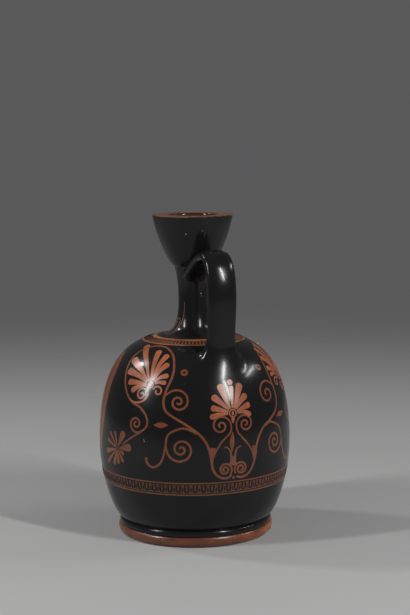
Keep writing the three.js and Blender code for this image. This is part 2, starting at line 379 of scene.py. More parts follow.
class Wall:
    """The outside of a turned piece, where a place is a turn from the handle and a climb."""

    def __init__(self, outline):
        self.outline = outline
        self.skin = beside(outline, 1.0)
        self.climbs = run_lengths(outline)

    def section(self, climb, lift=0.0):
        """Radius and height at a climb, in metres, lifted square off the wall."""
        on, off = along(self.climbs, climb, self.outline, self.skin)
        size = math.hypot(off[0] - on[0], off[1] - on[1])
        return tuple(a + (b - a) / size * lift for a, b in zip(on, off))

    def point(self, turn, climb, lift):
        """A place in the part's frame: turn in degrees, climb and lift in millimetres."""
        radius, height = self.section(climb * MM, lift * MM)
        return Vector((
            radius * math.cos(math.radians(turn)), radius * math.sin(math.radians(turn)), height))

    def shifted(self, place, across, up):
        """A place moved to the right and up on the wall by millimetres."""
        turn, climb = place
        radius = self.section(climb * MM)[0] / MM
        return turn + math.degrees(across / radius), climb + up

    def climb_to(self, height):
        """The climb, in millimetres, at which the wall reaches a height in millimetres."""
        for k, (_, upper) in enumerate(self.outline[1:], 1):
            lower = self.outline[k - 1][1]
            if upper >= height * MM:
                share = (height * MM - lower) / (upper - lower)
                return (self.climbs[k - 1] + share * (self.climbs[k] - self.climbs[k - 1])) / MM
        return self.climbs[-1] / MM

    def stretch(self, low, high):
        """The climbs, in millimetres, between two heights in millimetres."""
        return self.climb_to(low), self.climb_to(high)

    def radius_at(self, height):
        """The wall's radius at a height in metres."""
        return self.section(self.climb_to(height / MM) * MM)[0]


# Meshes and pieces

def spun(outline):
    """A closed solid of revolution about Z."""
    bm = bmesh.new()
    verts = [bm.verts.new((radius, 0.0, height)) for radius, height in outline]
    edges = [bm.edges.new(pair) for pair in zip(verts, verts[1:] + verts[:1])]
    bmesh.ops.spin(
        bm, geom=verts + edges, cent=(0, 0, 0), axis=(0, 0, 1), dvec=(0, 0, 0),
        angle=2 * math.pi, steps=TURN_STEPS, use_merge=True)
    bmesh.ops.remove_doubles(bm, verts=bm.verts, dist=MERGE_DISTANCE)
    bmesh.ops.dissolve_degenerate(bm, edges=bm.edges, dist=MERGE_DISTANCE)
    bmesh.ops.recalc_face_normals(bm, faces=bm.faces)
    return bm


def sheet(bm, rows, columns, place):
    """A grid whose points go where place(row, column) puts them."""
    grid = bmesh.ops.create_grid(bm, x_segments=rows, y_segments=columns, size=0.5)
    for vert in grid["verts"]:
        row = round((vert.co.x + 0.5) * rows)
        column = round((vert.co.y + 0.5) * columns)
        vert.co = place(row, column)


def piece(name, bm, material, slot, *nodes):
    """Turns a bmesh into a finished piece that rides on the jug and stands for the named nodes."""
    for face in bm.faces:
        face.smooth = True
    for edge in bm.edges:
        edge.smooth = edge.is_manifold and edge.calc_face_angle() < CREASE_ANGLE
    mesh = bpy.data.meshes.new(name)
    bm.to_mesh(mesh)
    bm.free()
    mesh.materials.append(material)
    made = bpy.data.objects.new(name, mesh)
    bpy.context.scene.collection.objects.link(made)
    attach(made, ROOT)
    if nodes:
        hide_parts(*nodes)
    return made


def inlay(name, bm, material, slot, *nodes):
    """A thin layer of paint or slip, given its thickness towards the clay."""
    bmesh.ops.remove_doubles(bm, verts=bm.verts, dist=MERGE_DISTANCE)
    made = piece(name, bm, material, slot, *nodes)
    wall = made.modifiers.new("layer", "SOLIDIFY")
    wall.thickness = INLAY_THICKNESS * MM
    wall.offset = -1.0


# Strokes of the brush, with places in degrees from the handle and millimetres up the wall.
# A stroke's width, in millimetres, comes from a function of the run along it and its length.

# Least width of a stroke that runs to a point, and least half width of a round end
POINT_WIDTH = 0.02
ROUND_TIP = 0.02
# How fast a petal swells, and how slim a spindle's points are
PETAL_SWELL = 0.85
SPINDLE_TAPER = 1.2
# Where a dart begins, is widest and ends, as shares of an egg's upright sides
DART_SHARES = (0.9, 0.4, -0.1)


def rounded(points, steps=LINE_STEPS):
    """A smooth line through the given places."""
    line = []
    for k in range(len(points) - 1):
        here, there = points[k], points[k + 1]
        before = points[k - 1] if k else between(here, there, -1)
        beyond = points[k + 2] if k + 2 < len(points) else between(here, there, 2)
        for step in range(steps):
            t = step / steps
            line.append(tuple(
                b + 0.5 * t * (c - a + t * (2 * a - 5 * b + 4 * c - d + t * (3 * (b - c) + d - a)))
                for a, b, c, d in zip(before, here, there, beyond)))
    return line + [points[-1]]


def curl(wall, centre, start, turns, outer, inner, ease=0.6, per_turn=CURL_STEPS):
    """Places on a spiral from a heading in degrees, winding in fast at first for a low ease."""
    last = max(2, round(abs(turns) * per_turn))
    places = []
    for k in range(last + 1):
        share = k / last
        heading = math.radians(start + 360 * turns * share)
        radius = outer + (inner - outer) * share ** ease
        places.append(wall.shifted(centre, radius * math.cos(heading), radius * math.sin(heading)))
    return places


def mirrored(places):
    """The same places on the other side of the handle."""
    return [(-turn, climb) for turn, climb in places]


# Both sides of the handle: the places as they are, and mirrored
SIDES = (list, mirrored)


def round_end(left, full):
    """Width of a stroke's round end, with a length left to its tip."""
    return 2 * math.sqrt(max(left * (full - left), ROUND_TIP ** 2))


def even(full):
    """A stroke of one width, with straight ends."""
    return lambda run, total: full


def tapering(first, last):
    """A stroke whose width goes evenly from first to last, with round ends."""
    def width(run, total):
        full = first + (last - first) * run / total
        end = min(run, total - run)
        return full if end >= full / 2 else round_end(end, full)
    return width


def club(base, head):
    """A petal that swells from its base to a round head."""
    def width(run, total):
        left = total - run
        if left < head / 2:
            return round_end(left, head)
        return base + (head - base) * (run / (total - head / 2)) ** PETAL_SWELL
    return width


def wedge(first, last):
    """A filled corner whose width goes evenly from first to last, with straight ends."""
    return lambda run, total: first + (last - first) * run / total


def spindle(full):
    """A leaf that is pointed at both ends."""
    def width(run, total):
        return max(full * math.sin(math.pi * (run / total)) ** SPINDLE_TAPER, POINT_WIDTH)
    return width


def disc(full):
    """A round dot."""
    def width(run, total):
        return max(full * math.sqrt(max(4 * run * (total - run), 0.0)) / total, POINT_WIDTH)
    return width


class Brush:
    """Lays strokes on a wall, each a hair above the last so that crossing strokes stay apart."""

    def __init__(self, wall, depth):
        self.wall = wall
        self.bm = bmesh.new()
        self.lift = -depth

    def stroke(self, path, width, across=2):
        """A stroke along a path, with its width given by the run along it."""
        wall = self.wall
        runs = [0.0]
        for here, there in zip(path, path[1:]):
            radius = wall.section((here[1] + there[1]) / 2 * MM)[0] / MM
            runs.append(runs[-1] + math.hypot(
                math.radians(there[0] - here[0]) * radius, there[1] - here[1]))

        def place(row, column):
            before, after = path[max(row - 1, 0)], path[min(row + 1, len(path) - 1)]
            radius = wall.section(path[row][1] * MM)[0] / MM
            run, rise = math.radians(after[0] - before[0]) * radius, after[1] - before[1]
            size = math.hypot(run, rise)
            half = width(runs[row], runs[-1]) * (column / across - 0.5)
            return wall.point(
                *wall.shifted(path[row], -rise / size * half, run / size * half), self.lift)

        sheet(self.bm, len(path) - 1, across, place)
        self.lift += LAYER_STEP

    def line(self, places, first, last):
        """A smooth line through places, tapering from the first width to the last."""
        self.stroke(rounded(places), tapering(first, last))

    def petal(self, core, tip, head, middle=None, base=1.0, start=3.0):
        """A petal from near the core to its tip, through a middle place where it bends."""
        middle = middle or between(core, tip, 0.5)
        radius = self.wall.section(core[1] * MM)[0] / MM
        share = start / math.hypot(math.radians(middle[0] - core[0]) * radius, middle[1] - core[1])
        path = rounded([between(core, middle, share), middle, tip], PETAL_STEPS)
        self.stroke(path, club(base, head))

    def dot(self, centre, size):
        """A filled round dot."""
        ends = [self.wall.shifted(centre, side * size / 2, 0.0) for side in (-1, 1)]
        self.stroke(rounded([ends[0], centre, ends[1]]), disc(size))

    def ring(self, centre, radius, width):
        """A round outline."""
        circle = curl(self.wall, centre, 0.0, 1.0, radius, radius, per_turn=RING_STEPS)
        self.stroke(circle, even(width))

    def band(self, low, high, rows, wander=None):
        """A band right round the wall between two climbs, with an edge that may wander."""
        wall = self.wall

        def place(row, column):
            turn = 360.0 * row / TURN_STEPS
            edge = low + (wander(turn) if wander else 0.0)
            return wall.point(turn, edge + (high - edge) * column / rows, self.lift)

        sheet(self.bm, TURN_STEPS, rows, place)
        self.lift += LAYER_STEP


def eggs(brush, number, low, high, width, pen, dart):
    """A row of eggs, each an outline open at the top, with a dart between neighbours."""
    side = width / 2
    legs = high - low - side
    pitch = 360.0 / number
    arc = [math.radians(a) for a in range(180, 361, 180 // EGG_STEPS)]
    bowl = [(side * math.cos(a), side * math.sin(a)) for a in arc]
    outline = [(-side, legs), (-side, legs / 2)] + bowl + [(side, legs / 2), (side, legs)]
    for k in range(number):
        centre = (pitch * (k + 0.5), low + side)
        brush.stroke([brush.wall.shifted(centre, *step) for step in outline], even(pen), 1)
        ends = [(centre[0] + pitch / 2, low + legs * share) for share in DART_SHARES]
        brush.stroke(rounded(ends, DART_STEPS), spindle(dart), 1)


# Materials

# Places of the share, the two colours and the result among a colour mix's sockets
MIX_SHARE, MIX_FIRST, MIX_SECOND, MIX_RESULT = 0, 6, 7, 2
# A speck's soft edge begins at this share of its radius
SPECK_CORE = 0.6


class Nodes:
    """Short calls for wiring a material or the world."""

    def __init__(self, owner):
        owner.use_nodes = True
        self.tree = owner.node_tree

    def add(self, kind, sockets=None, **settings):
        """A new node with its settings, and its sockets set or linked by name."""
        node = self.tree.nodes.new("ShaderNode" + kind)
        for name, value in settings.items():
            setattr(node, name, value)
        for name, value in (sockets or {}).items():
            self.put(node.inputs[name], value)
        return node

    def put(self, socket, value):
        """A value or a link for one socket."""
        if isinstance(value, bpy.types.NodeSocket):
            self.tree.links.new(value, socket)
        else:
            socket.default_value = value

    def places(self, stretch=(1.0, 1.0, 1.0)):
        """Object coordinates, stretched along the axes."""
        spot = self.add("TexCoord").outputs["Object"]
        return self.add("Mapping", {"Vector": spot, "Scale": stretch}).outputs["Vector"]

    def noise(self, places, scale, detail=3.0, roughness=0.55, distortion=0.0):
        """Cloudy values from 0 to 1."""
        sockets = {
            "Vector": places, "Scale": scale, "Detail": detail, "Roughness": roughness,
            "Distortion": distortion}
        return self.add("TexNoise", sockets).outputs["Fac"]

    def spread(self, value, low, high, to_low=0.0, to_high=1.0):
        """A value moved from one range to another and held inside it."""
        sockets = {
            "Value": value, "From Min": low, "From Max": high, "To Min": to_low, "To Max": to_high}
        return self.add("MapRange", sockets).outputs["Result"]

    def math(self, operation, first, second):
        """One sum on two values."""
        node = self.add("Math", operation=operation)
        self.put(node.inputs[0], first)
        self.put(node.inputs[1], second)
        return node.outputs["Value"]

    def blend(self, share, first, second):
        """Two colours mixed by a share."""
        node = self.add("Mix", data_type="RGBA")
        for place, value in ((MIX_SHARE, share), (MIX_FIRST, first), (MIX_SECOND, second)):
            linked = isinstance(value, bpy.types.NodeSocket)
            self.put(node.inputs[place], value if linked else (*value, 1.0))
        return node.outputs[MIX_RESULT]

    def specks(self, places, scale, size, share):
        """Small round marks in a share of the cells, as a mask."""
        cells = self.add("TexVoronoi", {"Vector": places, "Scale": scale})
        near = self.spread(cells.outputs["Distance"], size, size * SPECK_CORE)
        chosen = self.add("SeparateColor", {"Color": cells.outputs["Color"]}).outputs["Red"]
        return self.math("MULTIPLY", near, self.math("LESS_THAN", chosen, share))

    def bump(self, height, distance, normal=None):
        """A raised surface from a height pattern."""
        sockets = {"Height": height, "Distance": distance, "Strength": 1.0}
        if normal:
            sockets["Normal"] = normal
        return self.add("Bump", sockets).outputs["Normal"]


def finish_of(name):
    """A new material with its nodes and its shader."""
    made = bpy.data.materials.new(name)
    nodes = Nodes(made)
    return made, nodes, nodes.tree.nodes["Principled BSDF"]


# Depths of the unevenness of the surfaces, in metres
HOLLOW_DEPTH = 0.0003
TURNING_DEPTH = 0.00003
GLOSS_GRAIN = 0.0000016
CLAY_GRAIN = 0.000004
SLIP_GRAIN = 0.00001
# How strongly the gloss mirrors, in its body and in its coat
GLOSS_SPECULAR = 0.16
GLOSS_COAT = 0.16
COAT_ROUGHNESS = 0.12
# Where the clay's redder, lighter side begins and is full, towards +Y, in metres: partly fired
# colour, partly painted light on that side
FLASHED_AND_LIT = (0.0, 0.045)


def thrown_surface(nodes, places, grain):
    """The unevenness of a burnished wall: soft hollows, turning lines and a fine grain."""
    hollows = nodes.noise(places, scale=34.0, detail=2.0)
    lines = nodes.noise(nodes.places((9.0, 9.0, 330.0)), scale=1.0, roughness=0.6)
    fine = nodes.noise(places, scale=900.0, detail=2.0)
    normal = nodes.bump(hollows, HOLLOW_DEPTH)
    normal = nodes.bump(lines, TURNING_DEPTH, normal)
    return nodes.bump(fine, grain, normal)


def burnished_gloss(finish, name, deep):
    """Sintered slip: deep, a little uneven, thin and brown in places, with pits."""
    made, nodes, shader = finish_of(name)
    places = nodes.places()
    thin = nodes.noise(places, scale=42.0, detail=5.0, roughness=0.6)
    streaks = nodes.noise(nodes.places((14.0, 14.0, 190.0)), scale=1.0, detail=4.0)
    streaks = nodes.spread(nodes.spread(streaks, 0.55, 0.8), 0.0, 1.0, 0.35, 1.0)
    brown = nodes.math("MULTIPLY", nodes.spread(thin, 0.56, 0.76), streaks)
    colour = nodes.blend(brown, deep, finish.gloss_brown)
    pits = nodes.specks(places, scale=130.0, size=0.055, share=0.1)
    nodes.put(shader.inputs["Base Color"], nodes.blend(pits, colour, finish.soil))
    smudge = nodes.noise(places, scale=26.0, detail=6.0, roughness=0.62)
    nodes.put(shader.inputs["Roughness"], nodes.spread(smudge, 0.3, 0.75, 0.14, 0.27))
    shader.inputs["Specular IOR Level"].default_value = GLOSS_SPECULAR
    shader.inputs["Coat Weight"].default_value = GLOSS_COAT
    shader.inputs["Coat Roughness"].default_value = COAT_ROUGHNESS
    nodes.put(shader.inputs["Normal"], thrown_surface(nodes, places, GLOSS_GRAIN))
    return made


def reserved_clay(finish, name, wear, stain, shade, flash_and_light=0.0):
    """Bare clay under an orange wash, with rubbed patches, stains along the turning and dirt, and
    where asked a side painted redder and lighter towards +Y, partly fired colour and partly painted
    light.
    """
    made, nodes, shader = finish_of(name)
    tones = (finish.clay_light, finish.clay_dark, finish.clay_worn)
    light, dark, worn = ([shade * part for part in tone] for tone in tones)
    places = nodes.places()
    patches = nodes.noise(places, scale=85.0, detail=5.0, roughness=0.65)
    colour = nodes.blend(nodes.spread(patches, 0.36, 0.72), light, dark)
    # The side towards +Y is painted redder and lighter: partly fired colour, partly painted light
    if flash_and_light:
        side = nodes.add("SeparateXYZ", {"Vector": places}).outputs["Y"]
        share = nodes.spread(side, *FLASHED_AND_LIT, 0.0, flash_and_light)
        colour = nodes.blend(share, colour, finish.clay_flashed_and_lit)
    rubbed = nodes.noise(
        nodes.places((1.0, 1.0, 2.2)), scale=130.0, detail=4.0, roughness=0.6, distortion=0.4)
    colour = nodes.blend(nodes.spread(rubbed, 0.64 - wear, 0.8), colour, worn)
    streaks = nodes.noise(
        nodes.places((80.0, 80.0, 400.0)), scale=1.0, detail=4.0, roughness=0.65)
    colour = nodes.blend(nodes.spread(streaks, 0.44, 0.66, 0.0, stain), colour, finish.soil)
    dirt = nodes.specks(places, scale=420.0, size=0.22, share=0.1 + 0.3 * stain)
    nodes.put(shader.inputs["Base Color"], nodes.blend(dirt, colour, finish.soil))
    grain = nodes.noise(places, scale=60.0, detail=5.0)
    roughness = nodes.spread(grain, 0.3, 0.75, 0.2 + wear, 0.34 + wear)
    nodes.put(shader.inputs["Roughness"], roughness)
    nodes.put(shader.inputs["Normal"], thrown_surface(nodes, places, CLAY_GRAIN))
    return made


def seam_slip(finish):
    """Dark slip in the seams, duller than the gloss."""
    made, nodes, shader = finish_of("seam_slip")
    places = nodes.places()
    patches = nodes.noise(places, scale=120.0, detail=4.0)
    colour = nodes.blend(patches, finish.slip_dark, finish.gloss_brown)
    nodes.put(shader.inputs["Base Color"], colour)
    nodes.put(shader.inputs["Roughness"], nodes.spread(patches, 0.3, 0.7, 0.25, 0.45))
    nodes.put(shader.inputs["Normal"], nodes.bump(nodes.noise(places, scale=500.0), SLIP_GRAIN))
    return made


def limed_chip(finish):
    """Dull clay in the chips of the gloss, pale with lime."""
    made, nodes, shader = finish_of("limed_chip")
    patches = nodes.noise(nodes.places(), scale=400.0)
    dirt = nodes.spread(patches, 0.4, 0.7, 0.0, 0.5)
    nodes.put(shader.inputs["Base Color"], nodes.blend(dirt, finish.chip_pale, finish.soil))
    nodes.put(shader.inputs["Roughness"], nodes.spread(patches, 0.3, 0.7, 0.7, 0.9))
    return made


# How rubbed and how stained each reserved part is, how much of the clay's colour shows,
# and how far it is painted redder and lighter towards +Y, partly fired colour and partly painted
# light
CLAYS = {
    "petal_clay": (0.0, 0.15, 1.0),
    "line_clay": (0.0, 0.25, 0.54),
    # The shoulder band's line is painted brighter than the clay's own tone: painted light on the top
    # of the shoulder
    "band_clay_with_painted_light": (0.2, 0.2, 1.3),
    "low_band_clay": (0.15, 0.2, 0.52),
    "egg_clay": (0.12, 0.4, 0.33),
    # The shoulder band's ground is also painted brighter than its own tone: painted light on the
    # shoulder top
    "ground_clay_with_painted_light": (0.22, 0.2, 0.86),
    "foot_edge_clay": (0.0, 0.8, 0.46, 0.85),
    "rim_edge_clay": (0.3, 0.6, 0.52),
}


def finish_named(name):
    """A finish of the jug, made when it is first asked for."""
    made = bpy.data.materials.get(name)
    if made:
        return made
    finish = bpy.context.scene.lekythos.finish
    if name == "burnished_gloss":
        return burnished_gloss(finish, name, finish.gloss_black)
    if name == "thin_gloss":
        return burnished_gloss(finish, name, finish.gloss_thin)
    if name == "seam_slip":
        return seam_slip(finish)
    if name == "limed_chip":
        return limed_chip(finish)
    return reserved_clay(finish, name, *CLAYS[name])


# The strap handle

# How deep the strap and the edge of its slip sit in the walls, in metres
STRAP_SINK = 0.0005
FLARE_SINK = 0.0002
# How far the slip stands off the strap where it thins out, in metres
FLARE_SKIN = 0.00001
# How far the slip climbs along the strap for its spread, at the sides and on the outer face
FLARE_LENGTH = 1.7
FACE_LENGTH = 1.75
# Share of the outer face's climb that is hollow like the sides
FACE_HOLLOW = 0.4


class Strap:
    """The strap's middle line in the handle's plane, walked from the neck to the shoulder."""

    def __init__(self, settings):
        handle = settings.handle
        body = Wall(body_wall(settings.body))
        self.walls = [body, Wall(neck_wall(settings.neck)), Wall(mouth_wall(settings.mouth))]
        self.half_width = HANDLE_HIGH.y
        self.half_thickness = handle.thickness / 2
        self.squareness = handle.squareness
        join = NECK_HIGH.z - handle.join_drop
        crest = NECK_HIGH.z + handle.crest_rise
        bend = crest - handle.bend_drop
        root = next(z for r, z in reversed(body.outline) if r >= handle.root_radius)
        out = curve(
            STRAP_ROWS, (0.0, join), (handle.join_reach, join),
            (handle.crest_radius - handle.crest_run_in, crest), (handle.crest_radius, crest))
        over = curve(
            STRAP_ROWS, out[-1], (handle.crest_radius + handle.crest_run_out, crest),
            (handle.outer_radius, bend + handle.bend_run), (handle.outer_radius, bend))
        down = curve(
            STRAP_ROWS, over[-1], (handle.outer_radius, bend - handle.fall_run),
            (handle.root_radius, root + handle.fall_run),
            (handle.root_radius, root - handle.thickness))
        below = (down[-1][0], down[-1][1] - 2 * handle.thickness)
        straight = curve(STRAP_ROWS, down[-1], down[-1], below, below)
        self.line = out + over[1:] + down[1:] + straight[1:]
        self.skin = beside(self.line, -1.0)
        self.crest = len(out) - 1
        self.runs = run_lengths(self.line)

    def edge(self, side, spread=(0.0, 0.0, 0.0)):
        """Where a side of the section lies, across the strap and out from its middle line."""
        turn = 2 * math.pi * side / STRAP_SIDES
        across, out = (
            math.copysign(abs(part) ** (2 / self.squareness), part)
            for part in (math.cos(turn), math.sin(turn)))
        sides, outer, inner = spread
        face = outer if out > 0 else inner
        return across * (self.half_width + sides), out * (self.half_thickness + face)

    def point(self, run, across, out):
        """A point beside the middle line at a run along it."""
        x, z = between(*along(self.runs, run, self.line, self.skin), out)
        return Vector((x, across, z))

    def sunk(self, point, depth):
        """Whether a point lies deeper than a depth inside the jug's walls."""
        body, neck, mouth = self.walls
        wall = body if point.z < BODY_HIGH.z else neck if point.z < NECK_HIGH.z else mouth
        return math.hypot(point.x, point.y) < wall.radius_at(point.z) - depth

    def landing(self, across, out, towards_neck, depth):
        """The run at which a line along the strap goes into the neck or the shoulder."""
        def inside(run):
            return self.sunk(self.point(run, across, out), depth)

        runs = self.runs[self.crest::-1] if towards_neck else self.runs[self.crest:]
        first = next((k for k, run in enumerate(runs) if inside(run)), len(runs) - 1)
        free, sunk = runs[first - 1], runs[first]
        for _ in range(LANDING_HALVINGS):
            middle = (free + sunk) / 2
            if inside(middle):
                sunk = middle
            else:
                free = middle
        return sunk


def strap_mesh(strap):
    """The strap itself, cut to sit in the neck and the shoulder."""
    edges = [strap.edge(side) for side in range(STRAP_SIDES)]
    ends = [
        [strap.landing(*edge, towards_neck, STRAP_SINK) for towards_neck in (True, False)]
        for edge in edges]

    def place(row, column):
        side = column % STRAP_SIDES
        first, last = ends[side]
        return strap.point(first + (last - first) * row / STRAP_ROWS, *edges[side])

    bm = bmesh.new()
    sheet(bm, STRAP_ROWS, STRAP_SIDES, place)
    bmesh.ops.remove_doubles(bm, verts=bm.verts, dist=MERGE_DISTANCE)
    bmesh.ops.holes_fill(bm, edges=[edge for edge in bm.edges if edge.is_boundary])
    bmesh.ops.recalc_face_normals(bm, faces=bm.faces)
    return bm


def flare_mesh(strap, towards_neck, flare):
    """A collar of slip from strap to wall, hollow at the sides and straighter in front."""
    onward = 1 if towards_neck else -1
    side_length, face_length = FLARE_LENGTH * max(flare), FACE_LENGTH * flare[1]

    def place(row, column):
        side = column % STRAP_SIDES
        turn = math.pi / 2 * row / FLARE_ROWS
        edge = strap.edge(side, [spread * (1 - math.sin(turn)) + FLARE_SKIN for spread in flare])
        run = strap.landing(*edge, towards_neck, FLARE_SINK)
        facing = max(math.sin(2 * math.pi * side / STRAP_SIDES), 0.0) ** 2
        hollow, straight = 1 - math.cos(turn), math.sin(turn) ** 2
        side_climb = side_length * hollow
        face_climb = face_length * (FACE_HOLLOW * hollow + (1 - FACE_HOLLOW) * straight)
        climb = side_climb + (face_climb - side_climb) * facing
        return strap.point(run + onward * climb, *edge)

    bm = bmesh.new()
    sheet(bm, FLARE_ROWS, STRAP_SIDES, place)
    bmesh.ops.remove_doubles(bm, verts=bm.verts, dist=MERGE_DISTANCE)
    bmesh.ops.recalc_face_normals(bm, faces=bm.faces)
    return bm


# Operators, one for each piece or group of like pieces

# How far the gloss on the foot runs down over the groove, in millimetres
GLOSS_OVERLAP = 0.3
# Height in millimetres, number and phase of the waves in an edge painted on the wheel
EDGE_WAVES = ((0.16, 3, 0.7), (0.1, 11, 0.0), (0.07, 29, 2.0))


def brushed_edge(turn):
    """How far an edge painted on the wheel wanders, in millimetres."""
    turn = math.radians(turn)
    return sum(height * math.sin(waves * turn + phase) for height, waves, phase in EDGE_WAVES)


class LEKYTHOS_OT_foot(bpy.types.Operator):
    """Turn the foot, bare below and black on its moulding"""
    bl_idname = "lekythos.foot"
    bl_label = "Foot"

    def execute(self, context):
        foot = context.scene.lekythos.foot
        wall = foot_wall(foot)
        hollow = [(foot.hollow_top_radius, FOOT_HIGH.z), (foot.hollow_radius, FOOT_LOW.z)]
        piece("foot_clay", spun(beside(wall, -CLAY_DEPTH * MM) + hollow),
              finish_named("foot_edge_clay"), "bare_clay", "foot")
        brush = Brush(Wall(wall), 0.0)
        low = brush.wall.climb_to((FOOT_LOW.z + foot.edge_height) / MM) - GLOSS_OVERLAP
        brush.band(low, brush.wall.climbs[-1] / MM, 2 * EDGE_STEPS, brushed_edge)
        inlay("foot_gloss", brush.bm, finish_named("burnished_gloss"), "black_gloss")
        return {"FINISHED"}


class LEKYTHOS_OT_body(bpy.types.Operator):
    """Throw the belly and shoulder in one piece, hollow inside"""
    bl_idname = "lekythos.body"
    bl_label = "Body"

    def execute(self, context):
        body = context.scene.lekythos.body
        wall = body_wall(body)
        roof = BODY_HIGH.z - body.wall
        floor = BODY_LOW.z + body.floor
        inside = [point for point in beside(wall, -body.wall) if floor < point[1] < roof]
        outline = [(0.0, BODY_LOW.z)] + beside(wall, -GLOSS_DEPTH * MM)
        outline += [(body.hole_radius, BODY_HIGH.z), (body.hole_radius, roof)]
        outline += inside[::-1] + [(inside[0][0], floor), (0.0, floor)]
        piece("body_gloss", spun(outline), finish_named("burnished_gloss"), "black_gloss", "body")
        return {"FINISHED"}


class LEKYTHOS_OT_neck(bpy.types.Operator):
    """Turn the neck with its bore"""
    bl_idname = "lekythos.neck"
    bl_label = "Neck"

    def execute(self, context):
        settings = context.scene.lekythos
        neck = settings.neck
        outline = beside(neck_wall(neck), -GLOSS_DEPTH * MM)
        outline += [
            (settings.mouth.drain_radius, NECK_HIGH.z),
            (neck.bore_radius, NECK_HIGH.z - neck.bore_taper),
            (neck.bore_radius, NECK_LOW.z + neck.bore_taper),
            (settings.body.hole_radius, NECK_LOW.z)]
        piece("neck_gloss", spun(outline), finish_named("burnished_gloss"), "black_gloss", "neck")
        return {"FINISHED"}


class LEKYTHOS_OT_mouth(bpy.types.Operator):
    """Turn the cup mouth and leave its rim bare"""
    bl_idname = "lekythos.mouth"
    bl_label = "Mouth"

    def execute(self, context):
        mouth = context.scene.lekythos.mouth
        outline = rim_outline(mouth)
        drain = [(mouth.drain_radius, MOUTH_LOW.z)]
        piece("mouth_gloss", spun(beside(outline, -GLOSS_DEPTH * MM) + drain),
              finish_named("burnished_gloss"), "black_gloss", "mouth")
        brush = Brush(Wall(outline), CLAY_DEPTH)
        low = brush.wall.climb_to((MOUTH_HIGH.z - mouth.rim_bare) / MM)
        high = brush.wall.climb_to(MOUTH_HIGH.z / MM) + (mouth.rim_width - mouth.lip_round) / MM
        brush.band(low, high, 4 * CORNER_STEPS, brushed_edge)
        inlay("rim_clay", brush.bm, finish_named("rim_edge_clay"), "bare_clay")
        brush = Brush(brush.wall, CLAY_DEPTH + 2 * LAYER_STEP)
        brush.band(high, brush.wall.climbs[-1] / MM, WALL_STEPS)
        inlay("bowl_gloss", brush.bm, finish_named("thin_gloss"), "black_gloss")
        return {"FINISHED"}


class LEKYTHOS_OT_handle(bpy.types.Operator):
    """Pull the strap and smooth its two ends into the neck and the shoulder"""
    bl_idname = "lekythos.handle"
    bl_label = "Handle"

    def execute(self, context):
        settings = context.scene.lekythos
        strap = Strap(settings)
        gloss = finish_named("burnished_gloss")
        piece("handle_strap", strap_mesh(strap), gloss, "black_gloss", "handle")
        upper = flare_mesh(strap, True, settings.handle.upper_flare)
        inlay("handle_upper_flare", upper, gloss, "fired_slip", "handle_upper_slip")
        lower = flare_mesh(strap, False, settings.handle.lower_flare)
        inlay("handle_lower_flare", lower, gloss, "fired_slip", "handle_lower_slip")
        return {"FINISHED"}


class LEKYTHOS_OT_slips(bpy.types.Operator):
    """Lay the slip in the three turned seams"""
    bl_idname = "lekythos.slips"
    bl_label = "Slip seams"

    def execute(self, context):
        settings = context.scene.lekythos
        body, neck, mouth = settings.body, settings.neck, settings.mouth
        seams = (
            ("foot_slip", 0.0, settings.foot.top_radius, body.base_radius, 0.0),
            ("neck_slip", body.hole_radius, body.top_radius, neck.root_radius, 0.0),
            ("mouth_slip", mouth.drain_radius, neck.top_radius, mouth.base_radius,
             mouth.seam_swell))
        for node, inner, below, above, swell in seams:
            low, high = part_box(node)
            start, end = beside([(below, low.z), (above, high.z)], -GLOSS_DEPTH * MM)
            side = bulge((start[0], low.z), (start[0] + end[0]) / 2 + swell, (end[0], high.z))
            outline = [(inner, low.z), *side, (inner, high.z)]
            piece(node + "_seam", spun(outline), finish_named("seam_slip"), "fired_slip", node)
        return {"FINISHED"}


def paint_bands(name, wall, stretches, rows, finish):
    """Bands of clay right round a wall, each between two climbs, as one piece."""
    brush = Brush(wall, CLAY_DEPTH)
    for low, high in stretches:
        brush.band(low, high, rows)
    inlay(name, brush.bm, finish_named(finish), "bare_clay")


def paint_eggs(name, wall, number, stretch, egg, finish):
    """A row of eggs between two climbs, as one piece."""
    brush = Brush(wall, EGG_DEPTH)
    eggs(brush, number, *stretch, *egg)
    inlay(name, brush.bm, finish_named(finish), "black_gloss")


# Heights, in millimetres, of the lower band's border lines, its ground and its eggs
LOWER_LINES = ((34.9, 35.7), (42.3, 43.1))
LOWER_GROUND = (36.3, 41.7)
LOWER_EGG_ROW = (37.3, 41.7)
# Climbs, in millimetres, of the same parts of the shoulder band
SHOULDER_LINES = ((131.3, 133.9),)
SHOULDER_GROUND = (124.4, 130.9)
SHOULDER_EGG_ROW = (125.7, 130.9)
# An egg's width, the width of its outline and the width of the dart beside it
LOWER_EGG = (2.2, 0.9, 0.7)
SHOULDER_EGG = (1.5, 0.24, 0.4)


class LEKYTHOS_OT_lower_band(bpy.types.Operator):
    """Paint the band of eggs under the belly"""
    bl_idname = "lekythos.lower_band"
    bl_label = "Lower band"

    def execute(self, context):
        settings = context.scene.lekythos
        wall = Wall(body_wall(settings.body))
        lines = [wall.stretch(*line) for line in LOWER_LINES]
        paint_bands("lower_band", wall, lines, LOWER_BAND_ROWS, "low_band_clay")
        ground = wall.stretch(*LOWER_GROUND)
        paint_bands("lower_ground", wall, [ground], LOWER_BAND_ROWS, "egg_clay")
        paint_eggs("lower_eggs", wall, settings.ornament.lower_eggs,
                   wall.stretch(*LOWER_EGG_ROW), LOWER_EGG, "burnished_gloss")
        return {"FINISHED"}


